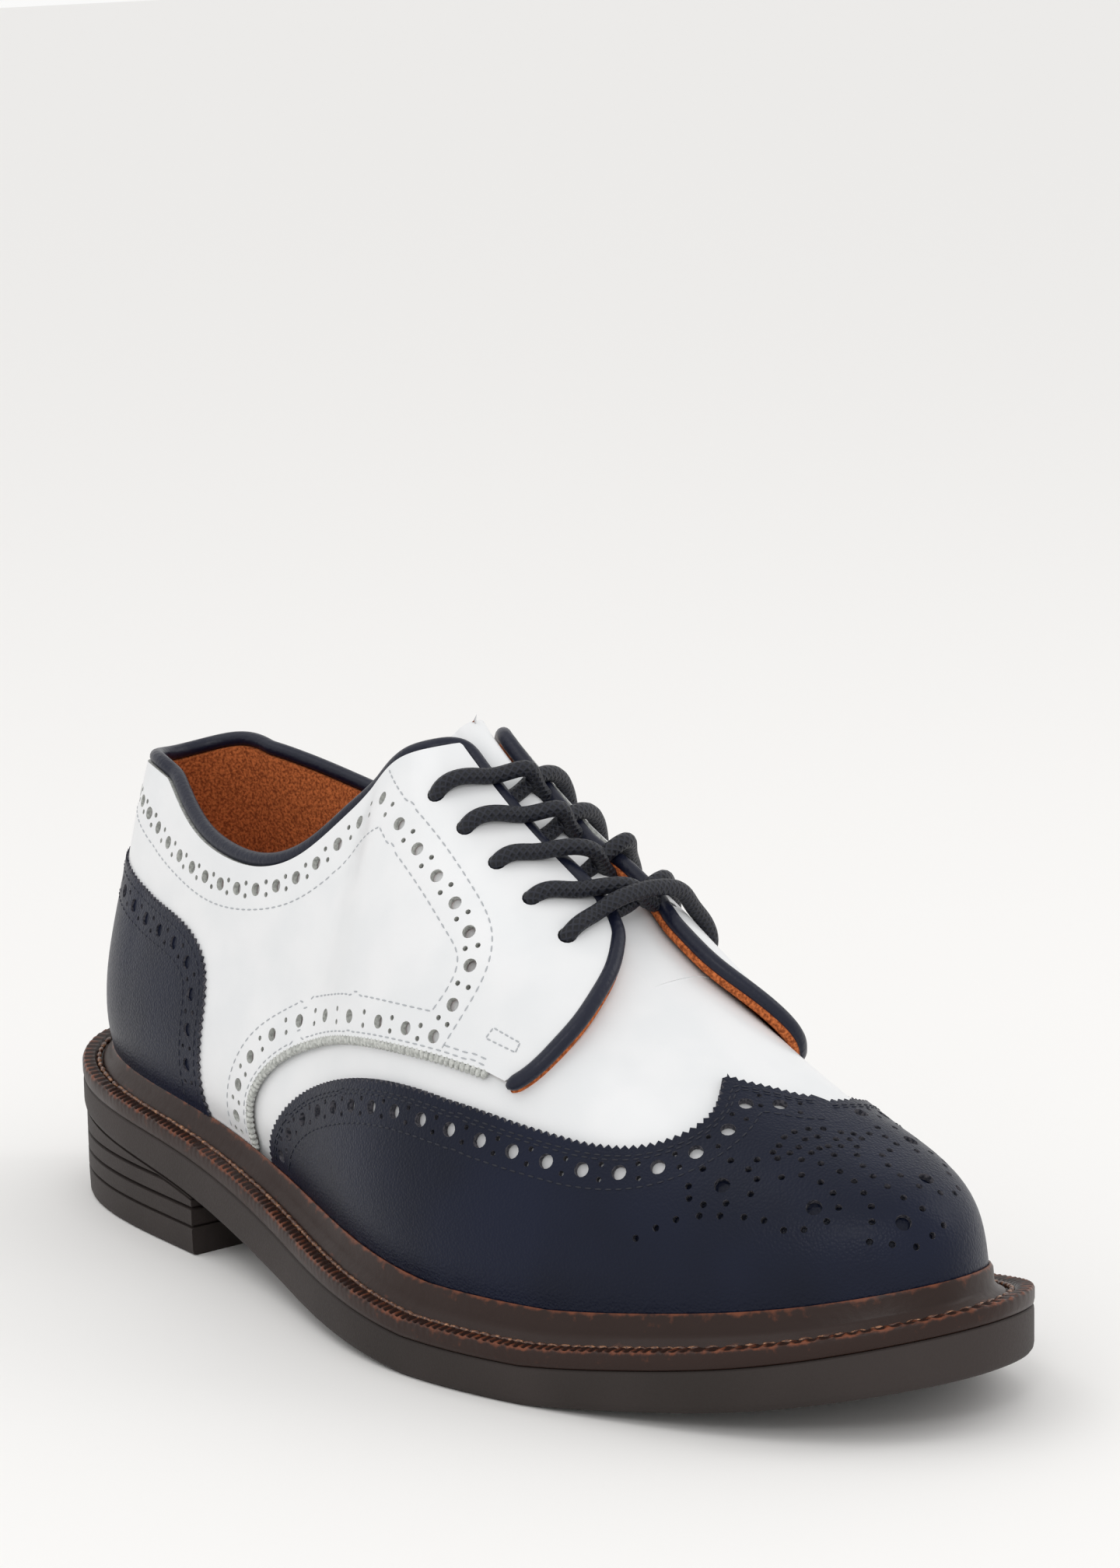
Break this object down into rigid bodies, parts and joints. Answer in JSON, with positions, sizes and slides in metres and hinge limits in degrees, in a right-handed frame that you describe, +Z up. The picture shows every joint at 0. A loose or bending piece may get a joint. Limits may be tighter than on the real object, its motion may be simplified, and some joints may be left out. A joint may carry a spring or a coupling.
{
  "type": "wing-tip derby shoe",
  "caption": "Right wing-tip derby shoe: hollow leather upper with overlaid panels, piped collar, open lacing, storm welt and rubber sole with a grooved heel.",
  "frame": {"origin": "on the floor, under the middle of the shoe's box", "axes": "+Z up, the toe points to -Y and the big-toe side to +X"},
  "size_m": [0.1087, 0.3015, 0.1353],
  "materials": {
    "white_leather": "smooth, glossy",
    "navy_leather": "fine grain, soft gloss",
    "tan_suede": "suede, matt",
    "brown_leather": "waxed edge with rust-coloured highlights",
    "dark_rubber": "matt",
    "navy_cord": "waxed braid"
  },
  "bodies": {
    "root": {"outsole": "dark_rubber", "heel_block": "dark_rubber", "top_lift": "dark_rubber", "welt": "brown_leather", "insole": "tan_suede", "upper": "white_leather", "tongue": "white_leather", "wingtip": "navy_leather", "counter": "navy_leather", "backstay": "navy_leather", "quarter_lateral": "white_leather", "quarter_medial": "white_leather", "piping": "navy_leather", "lace_bar": "navy_cord", "lace_cross_1": "navy_cord", "lace_cross_2": "navy_cord", "lace_cross_3": "navy_cord", "lace_cross_4": "navy_cord"}
  },
  "joints": []
}
